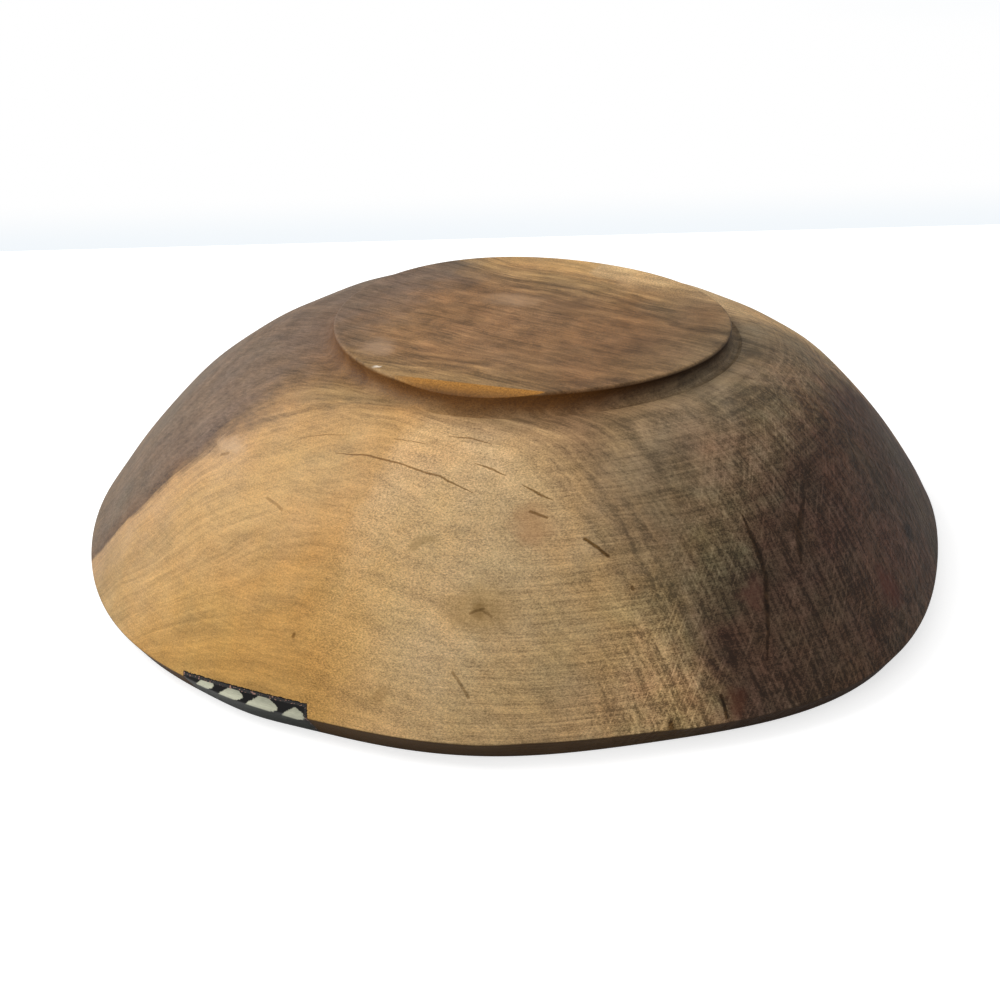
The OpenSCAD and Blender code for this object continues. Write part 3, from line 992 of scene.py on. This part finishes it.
    def foot_face(self, wood):
        """The foot's face: mottled along the fibres, and a little darker towards the right."""
        shader = self.shader
        face = shader.spread(self.down, -0.9, -1.05)
        right = shader.times(face, shader.spread(self.along, 0.0, 50.0))
        wood = shader.times(wood, shader.lean(right, DARKER_FOOT))
        mottle = shader.noise(shader.times(self.calm, (0.07, 0.26, 0.26)), 1.0, 3.0, 0.6)
        mottle = shader.times(shader.minus(0.5, mottle), face)
        return shader.scale(wood, shader.times_plus(mottle, 1.1, 1.0))

    def spots(self, wood):
        """Knots, the heart-shaped eye at the front, and stains."""
        shader = self.shader
        wander = shader.plus(self.point, shader.scale(self.fine, 9.0))
        wander = shader.plus(wander, shader.scale(self.wide, 4.0))
        for degrees, part, size, display, strength in SPOTS:
            middle = self.wall_place(degrees, part)
            mask = shader.mask(self.blotch, Vector=wander, Middle=middle, Size=size)
            wood = shader.mix(shader.times(mask, strength), wood, paint(*display))
        return wood

    def hairlines(self, wood):
        """Fine dark checks and the cracks, which also go into the relief. A line of more than two places runs
        out thin at both ends."""
        shader = self.shader
        hairline = hairline_group()
        skin = shader.join(self.turn, self.down, 0.0)
        wander = shader.times(self.fine, (1.6, 1.6, 0.0))
        lines, self.cuts = 0.0, 0.0
        for width, strength, stops in HAIRLINES:
            tip = 0.3 * width if len(stops) > 2 else width
            widths = (1.25 * part for part in (tip, *[width] * (len(stops) - 2), tip))
            places = list(zip(stops, widths))
            for (start, first), (end, last) in zip(places, places[1:]):
                around = math.tau * math.hypot(*self.wall_place(*start)[:2])
                inputs = {"Vector": skin, "Wander": wander, "Scale": (around, WALL_LENGTH, 0)}
                inputs |= {"Start": (start[0] / 360, start[1], 0), "End": (end[0] / 360, end[1], 0)}
                line = shader.mask(hairline, First=first, Last=last, **inputs)
                lines = shader.larger(lines, shader.times(line, strength))
                if strength >= CUT_STRENGTH:
                    self.cuts = shader.larger(self.cuts, line)
        return shader.mix(lines, wood, shader.times(wood, CHECK_SHADE))

    def facing(self, degrees):
        """Cosine of the direction's angle from a given one."""
        angle = self.shader.times_plus(self.turn, math.tau, -math.radians(degrees))
        return self.shader.compute("COSINE", angle)

    def worked_edges(self, wood):
        """Painted shade in the neck and groove, the golden flat cut, and painted shade on the hem and lip."""
        shader, colours, shape = self.shader, self.colours, self.shape
        # Painted shade in the neck: the foot's edge and the cove below are darkened, brown at the front and
        # near black in the knife's groove at the right, and the shade fades out raggedly towards the wall
        ragged = shader.times_plus(shader.split(self.fine)[2], 0.5, self.down)
        knife = shader.spread(self.facing(KNIFE_SIDE), 0.3, 0.92)
        worn = shader.times_plus(knife, 0.08, ragged)
        neck = shader.times(shader.spread(self.down, -1.09, -0.97), shader.spread(worn, 0.15, -0.8))
        neck = shader.times(neck, shader.spread(self.facing(NECK_SHADE_SIDE), -0.35, 0.6, 0.6, 0.95))
        streaky = shader.times_plus(self.grain, 1.8, shader.times_plus(self.rings, 0.8, 1.0))
        painted_shade = shader.scale(shader.mix(knife, colours.shade_brown, colours.groove), streaky)
        wood = shader.mix(neck, wood, painted_shade)

        normal = Vector((*(spoke(SHAVE_TURN) * math.sin(SHAVE_SLOPE)), math.cos(SHAVE_SLOPE)))
        reach = shape.foot_radius(SHAVE_TURN) - shape.sizes.shave_width
        start = shape.placed(shape.foot_middle + reach * spoke(SHAVE_TURN), shape.sizes.bowl_height)
        level = normal.dot(Vector(start)) / MM
        gap = shader.compute("ABSOLUTE", shader.minus(self.dotted(normal, 1.0), level))
        front = shader.spread(self.facing(SHAVED_SIDE), 0.86, 0.95)
        cut = shader.times(shader.spread(gap, 0.16, 0.04), front)
        # The flat cut is golden at the top and fades lower down into the brown painted shade of the neck
        sunk = shader.minus(shape.sizes.bowl_height / MM, shader.split(self.point)[2])
        shaved = shader.mix(shader.spread(sunk, 0.0, 1.7), colours.shaved, colours.shade_brown)
        wood = shader.mix(shader.times(cut, SHAVED_STRENGTH), wood, shader.scale(shaved, streaky))

        # Painted shade: the wall's lower edge is darkened at the front left, below the inlay
        low = shader.spread(self.down, 0.8, 1.0)
        hem = shader.times(low, shader.spread(self.facing(HEM_SIDE), 0.8, 0.97))
        wood = shader.times(wood, shader.lean(hem, HEM_SHADE))
        # Painted shade: the lip, which faces the floor, is painted dark brown
        lip = shader.times(shader.spread(self.down, 1.0, 1.02), shader.spread(self.down, 2.9, 2.5))
        return shader.mix(shader.times(lip, LIP_STRENGTH), wood, colours.lip)

    def glue_stain(self, wood):
        """Black glue that ran over the wood beside the pocket, with a ragged edge, and down on the lip."""
        shader, inlay, pocket = self.shader, self.shape.inlay, self.shape.inlay_frame()
        x, y, _ = shader.split(frame_place(shader, pocket))
        ragged = shader.times(shader.noise(self.point, 1.3, 2.0, 0.7), 2.2)
        x = shader.times_plus(y, math.tan(POCKET_LEAN), x)
        past_top = shader.minus(y, inlay.pocket_height / MM)
        past_end = shader.minus(shader.compute("ABSOLUTE", x), inlay.pocket_length / 2 / MM)
        past_end = shader.times_plus(past_end, 1.5, 0.1)
        past = shader.larger(shader.times(past_top, 1.2), past_end)
        past = shader.over(past, inlay.glue_smear / MM)
        above = shader.spread(shader.minus(ragged, past), 0.25, 0.6)
        beyond, down, behind = GLUE_RUN
        end = pocket @ Vector((inlay.pocket_length / 2 + beyond, -down, -behind))
        run = shader.mask(self.blotch, Vector=self.point, Middle=end / MM, Size=GLUE_RUN_SIZE)
        return shader.mix(shader.larger(above, run), wood, self.inlay_colours.glue)


def frame_place(shader, matrix):
    """The point's place in a frame, in millimetres."""
    back = matrix.inverted()
    inputs = {"Vector": shader.place(), "Location": back.translation / MM}
    inputs |= {"Rotation": back.to_euler(), "Scale": (1 / MM, 1 / MM, 1 / MM)}
    return shader.node("ShaderNodeMapping", inputs).outputs[0]


def wood_material(shape, colours, inlay_colours):
    """Two-tone wood, sanded by hand, with its own grain, marks and dirt."""
    material, shader, surface = new_material("carved_wood")
    figure = WoodFigure(shader, shape, colours, inlay_colours)
    wood = figure.base_colour()
    tone = figure.tone()
    wood = shader.times(figure.tint(wood), tone)
    for layer in (figure.foot_face, figure.spots, figure.hairlines, figure.worked_edges, figure.glue_stain):
        wood = layer(wood)
    rough = shader.times_plus(figure.grain, 0.5, 0.56)
    relief = shader.plus(shader.times_plus(figure.grain, 0.5, figure.level), figure.hatching)
    relief = shader.times_plus(figure.burl, shader.times_plus(figure.dark, 5.0, 0.8), relief)
    dress(shader, surface, wood, rough, shader.minus(relief, figure.cuts), WOOD_FINISH)
    return material


# White strokes of the bar: where each starts at the wall's edge and where it ends, in millimetres. Then how
# far their left edge leans per height, from what depth, and the height at which their right edge bulges
STROKES = ((-16.6, -9.4), (-7.8, 0.6), (1.2, 11.4), (11.8, 19.2))
STROKE_LEAN, STROKE_FOOT, STROKE_BULGE = 1.1, 0.5, 1.4


def stroke_group():
    """One white stroke: past a left edge that leans with the height, and short of a right edge that falls
    back by the squared distance from the height of its bulge."""
    group, shader, taken, mask = mask_group("Dyed stroke", ("Vector",), ("Start", "End"))
    x, y, _ = shader.split(taken["Vector"])
    lean = shader.times_plus(shader.plus(y, STROKE_FOOT), STROKE_LEAN, taken["Start"])
    left = shader.minus(x, lean)
    away = shader.minus(y, STROKE_BULGE)
    bulge = shader.times(away, away)
    right = shader.minus(shader.minus(taken["End"], bulge), x)
    shader.feed(mask, shader.spread(shader.smaller(left, right), -0.2, 0.3))
    return group


def bone_material(shape, colours):
    """Polished bone with black dyed stripes, which run a little into the bone, and a lower side that is
    darkened with painted shade and smudges of glue.
    """
    material, shader, surface = new_material("dyed_bone")
    stroke = stroke_group()
    place = frame_place(shader, shape.rim_frame())
    wobble = shader.swing(place, 1.3, 3.0, 0.6, colour=True)
    frayed = shader.plus(place, shader.scale(wobble, 1.0))
    white = 0.0
    for start, end in STROKES:
        white = shader.larger(white, shader.mask(stroke, Vector=frayed, Start=start, End=end))
    grain = shader.swing(shader.times(place, (0.5, 5.0, 5.0)), 1.0, 3.0)
    height = shader.split(place)[1]
    # The bone is painted lighter near the wall's edge and darker up the bar, with its grain
    bone_brightness = shader.times_plus(grain, 0.6, shader.spread(height, 0.2, 2.8, 1.12, 0.72))
    striped = shader.mix(white, colours.dye, shader.scale(colours.bone, bone_brightness))
    # Painted shade, and smudges of glue: below the wall's edge the bar turns dark grey-green, its white
    # strokes a little lighter
    below = shader.spread(height, 0.1, -0.35)
    grime_and_shade = shader.scale(colours.grime_and_shade, shader.times_plus(white, 0.7, 0.6))
    look, rough = shader.mix(below, striped, grime_and_shade), shader.times_plus(grain, 0.3, 0.34)
    dress(shader, surface, look, rough, grain, BONE_FINISH)
    return material


def glue_material(colours):
    """Cured black glue with pits and with torn wood fibres that show through it."""
    material, shader, surface = new_material("black_glue")
    place = shader.scale(shader.place(), 1 / MM)
    pits = shader.noise(place, 2.2, 3.0, 0.6)
    specks = shader.spread(shader.noise(place, 1.9, 2.0, 0.5), 0.58, 0.66)
    body = shader.scale(colours.glue, shader.times_plus(pits, 1.4, 0.4))
    look, rough = shader.mix(specks, body, colours.specks), shader.times_plus(pits, 0.4, 0.35)
    dress(shader, surface, look, rough, pits, GLUE_FINISH)
    return material


def current_shape(context):
    """The bowl's formulas with the sizes that are set in the scene."""
    return BowlShape(context.scene.bowl_sizes, context.scene.inlay_sizes)


def carved_block(name, shape):
    """The whole carved block, before its pocket is sawn."""
    top = shape.placed(shape.foot_middle, shape.sizes.bowl_height - FACE_DIP)
    bottom = shape.placed(shape.foot_middle, shape.hollow_depth)
    return link(name, closed_skin(name, *bowl_rings(shape), top, bottom))


class BOWL_OT_carve(bpy.types.Operator):
    """Carve the wooden bowl, with its foot, its lip and the pocket for the bar"""

    bl_idname = "carved_bowl.carve"
    bl_label = "Carve the Bowl"

    def execute(self, context):
        shape = current_shape(context)
        bowl = carved_block("carved_wood_bowl", shape)
        cut(bowl, saw_block(shape), "DIFFERENCE")
        material = wood_material(shape, context.scene.wood_colours, context.scene.inlay_colours)
        finish_piece(bowl, WOOD_SHARP, material, "bowl")
        return {"FINISHED"}


class BOWL_OT_bar(bpy.types.Operator):
    """Fit the dyed bone bar, dressed flush with the wall and the lip"""

    bl_idname = "carved_bowl.bar"
    bl_label = "Fit the Bone Bar"

    def execute(self, context):
        shape = current_shape(context)
        bar = carved_block("dyed_bone_bar", shape)
        cut(bar, bar_block(shape), "INTERSECT")
        bevel = bar.modifiers.new("Rubbed edges", "BEVEL")
        bevel.width = shape.inlay.bar_edge
        bevel.segments = 2
        bevel.angle_limit = BEVEL_SHARP
        apply_modifiers(bar)
        material = bone_material(shape, context.scene.inlay_colours)
        finish_piece(bar, INLAY_SHARP, material, "bone_inlay")
        return {"FINISHED"}


class BOWL_OT_glue(bpy.types.Operator):
    """Bed the bar in black glue"""

    bl_idname = "carved_bowl.glue"
    bl_label = "Bed the Bar in Glue"

    def execute(self, context):
        shape = current_shape(context)
        glue = carved_block("glue_bed_fill", shape)
        cut(glue, saw_block(shape), "INTERSECT")
        cut(glue, bar_block(shape), "DIFFERENCE")
        material = glue_material(context.scene.inlay_colours)
        finish_piece(glue, INLAY_SHARP, material, "glue_bed")
        return {"FINISHED"}


# The stage: how far its sheets reach, how high they lie, the slant of the floor's far end, the width of the
# shade there, where the lamps point, the place, size and colour of each, and the camera's sensor and range
FLOOR_REACH, BACKDROP_REACH = 3.0, 9.0
FLOOR_LEVEL, BACKDROP_LEVEL = -0.05 * MM, -1 * MM
FLOOR_YAW = 0.04
SHADE_WIDTH = 0.09
LAMP_TARGET = (0, 0, 0.03)
WINDOW = ((-0.75, 0.25, 0.75), 0.7, (1.0, 0.985, 0.96))
FRONT_LAMP = ((-0.45, -0.8, 0.7), 0.6, (1.0, 0.99, 0.97))
SENSOR_WIDTH = 36
CLIP_START, CLIP_END = 0.01, 50


def flat_sheet(name, corners, height, stage):
    """A flat four-cornered sheet of the stage: its Shader, its matt surface and the camera's own rays."""
    mesh = bpy.data.meshes.new(name)
    mesh.from_pydata([(x, y, height) for x, y in corners], [], [(0, 1, 2, 3)])
    material = bpy.data.materials.new(name)
    shader = empty_tree(material)
    mesh.materials.append(material)
    link(name, mesh)
    matte = shader.node("ShaderNodeBsdfDiffuse", {"Color": stage.floor}).outputs[0]
    return shader, matte, shader.node("ShaderNodeLightPath").outputs["Is Camera Ray"]


def floor_sheet(stage):
    """The floor: matt white that takes the bowl's shadow, brightened a little for the camera."""
    reach, end, swerve = FLOOR_REACH, stage.floor_end, FLOOR_YAW * FLOOR_REACH
    corners = ((-reach, -reach), (reach, -reach), (reach, end + swerve), (-reach, end - swerve))
    shader, matte, seen = flat_sheet("floor", corners, FLOOR_LEVEL, stage)
    glow = shader.node("ShaderNodeEmission", {"Strength": shader.times(seen, stage.floor_glow)})
    both = shader.node("ShaderNodeAddShader", {0: matte, 1: glow.outputs[0]})
    shader.node("ShaderNodeOutputMaterial", {0: both.outputs[0]})


def backdrop_sheet(stage):
    """The cloth behind the floor, just below its level: white, with a bluish shade by the floor's end and in
    folds further off. The camera sees it at an even brightness."""
    reach = BACKDROP_REACH
    corners = ((-reach, -reach), (reach, -reach), (reach, reach), (-reach, reach))
    shader, matte, seen = flat_sheet("backdrop", corners, BACKDROP_LEVEL, stage)
    place = shader.place()
    across, away, _ = shader.split(place)
    level = shader.times_plus(across, -FLOOR_YAW, away)
    near_end = shader.spread(level, stage.floor_end + SHADE_WIDTH, stage.floor_end)
    folds = shader.spread(shader.noise(place, 1.1, 2.0), 0.5, 0.75)
    folds = shader.times(folds, shader.spread(across, 0.1, 0.7))
    shade = shader.mix(shader.larger(near_end, folds), (1.0, 1.0, 1.0), stage.backdrop)
    shown = shader.node("ShaderNodeEmission", {"Color": shade}).outputs[0]
    both = shader.node("ShaderNodeMixShader", {0: seen, 1: matte, 2: shown})
    shader.node("ShaderNodeOutputMaterial", {0: both.outputs[0]})


def sky(stage):
    """Even light from all round, which the camera sees as the backdrop's colour."""
    world = bpy.data.worlds.new("sky")
    shader = empty_tree(world)
    path = shader.node("ShaderNodeLightPath").outputs
    seen = shader.larger(path["Is Camera Ray"], path["Is Transmission Ray"])
    even = shader.node("ShaderNodeBackground", {"Color": (1, 1, 1), "Strength": stage.sky_strength})
    shown = shader.node("ShaderNodeBackground", {"Color": stage.backdrop, "Strength": 1.0})
    both = shader.node("ShaderNodeMixShader", {0: seen, 1: even.outputs[0], 2: shown.outputs[0]})
    shader.node("ShaderNodeOutputWorld", {0: both.outputs[0]})
    return world


def soft_lamp(name, power, place, size, tint):
    """A square lamp that points at the bowl."""
    data = bpy.data.lights.new(name, "AREA")
    data.size = size
    data.energy = power
    data.color = tint
    lamp = link(name, data)
    lamp.location = place
    lamp.rotation_euler = (Vector(LAMP_TARGET) - Vector(place)).to_track_quat("-Z", "Y").to_euler()


def photo_camera(stage):
    """The camera: its lens gives the field of view across the square picture."""
    data = bpy.data.cameras.new("camera")
    data.sensor_width = SENSOR_WIDTH
    data.lens = SENSOR_WIDTH / 2 / math.tan(stage.field_of_view / 2)
    data.clip_start, data.clip_end = CLIP_START, CLIP_END
    camera = link("camera", data)
    tip = Matrix.Rotation(math.pi / 2 - stage.camera_pitch, 4, "X")
    roll = Matrix.Rotation(stage.camera_roll, 4, "Z")
    camera.matrix_world = Matrix.Translation(stage.camera_place) @ tip @ roll
    return camera


class BOWL_OT_stage(bpy.types.Operator):
    """Set up the floor, the backdrop, the lamps and the camera"""

    bl_idname = "carved_bowl.stage"
    bl_label = "Set Up the Stage"

    def execute(self, context):
        scene = context.scene
        stage = scene.stage_settings
        floor_sheet(stage)
        backdrop_sheet(stage)
        soft_lamp("window", stage.window_power, *WINDOW)
        soft_lamp("front_lamp", stage.front_power, *FRONT_LAMP)
        scene.world = sky(stage)
        scene.camera = photo_camera(stage)
        scene.view_settings.view_transform = "Standard"
        return {"FINISHED"}


class BOWL_PT_panel(bpy.types.Panel):
    """The bowl's sizes, colours and operators"""

    bl_idname = "BOWL_PT_panel"
    bl_label = "Carved Bowl"
    bl_space_type = "VIEW_3D"
    bl_region_type = "UI"
    bl_category = "Carved Bowl"

    def draw(self, context):
        for operator in OPERATORS:
            self.layout.operator(operator.bl_idname)
        for name in GROUPS:
            group = getattr(context.scene, name)
            box = self.layout.box()
            box.label(text=name.replace("_", " ").capitalize())
            for key in group.__annotations__:
                box.prop(group, key)


OPERATORS = (BOWL_OT_carve, BOWL_OT_bar, BOWL_OT_glue, BOWL_OT_stage)


def register():
    """Registers the classes and puts each group of settings on the scene."""
    for part in (*GROUPS.values(), *OPERATORS, BOWL_PT_panel):
        bpy.utils.register_class(part)
    for name, group in GROUPS.items():
        setattr(bpy.types.Scene, name, bpy.props.PointerProperty(type=group))


def unregister():
    """Takes the settings and the classes away again."""
    for name in GROUPS:
        delattr(bpy.types.Scene, name)
    for part in (BOWL_PT_panel, *reversed(OPERATORS), *reversed(GROUPS.values())):
        bpy.utils.unregister_class(part)


def main():
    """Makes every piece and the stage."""
    register()
    for operator in OPERATORS:
        group, name = operator.bl_idname.split(".")
        getattr(getattr(bpy.ops, group), name)()


if __name__ == "__main__":
    main()
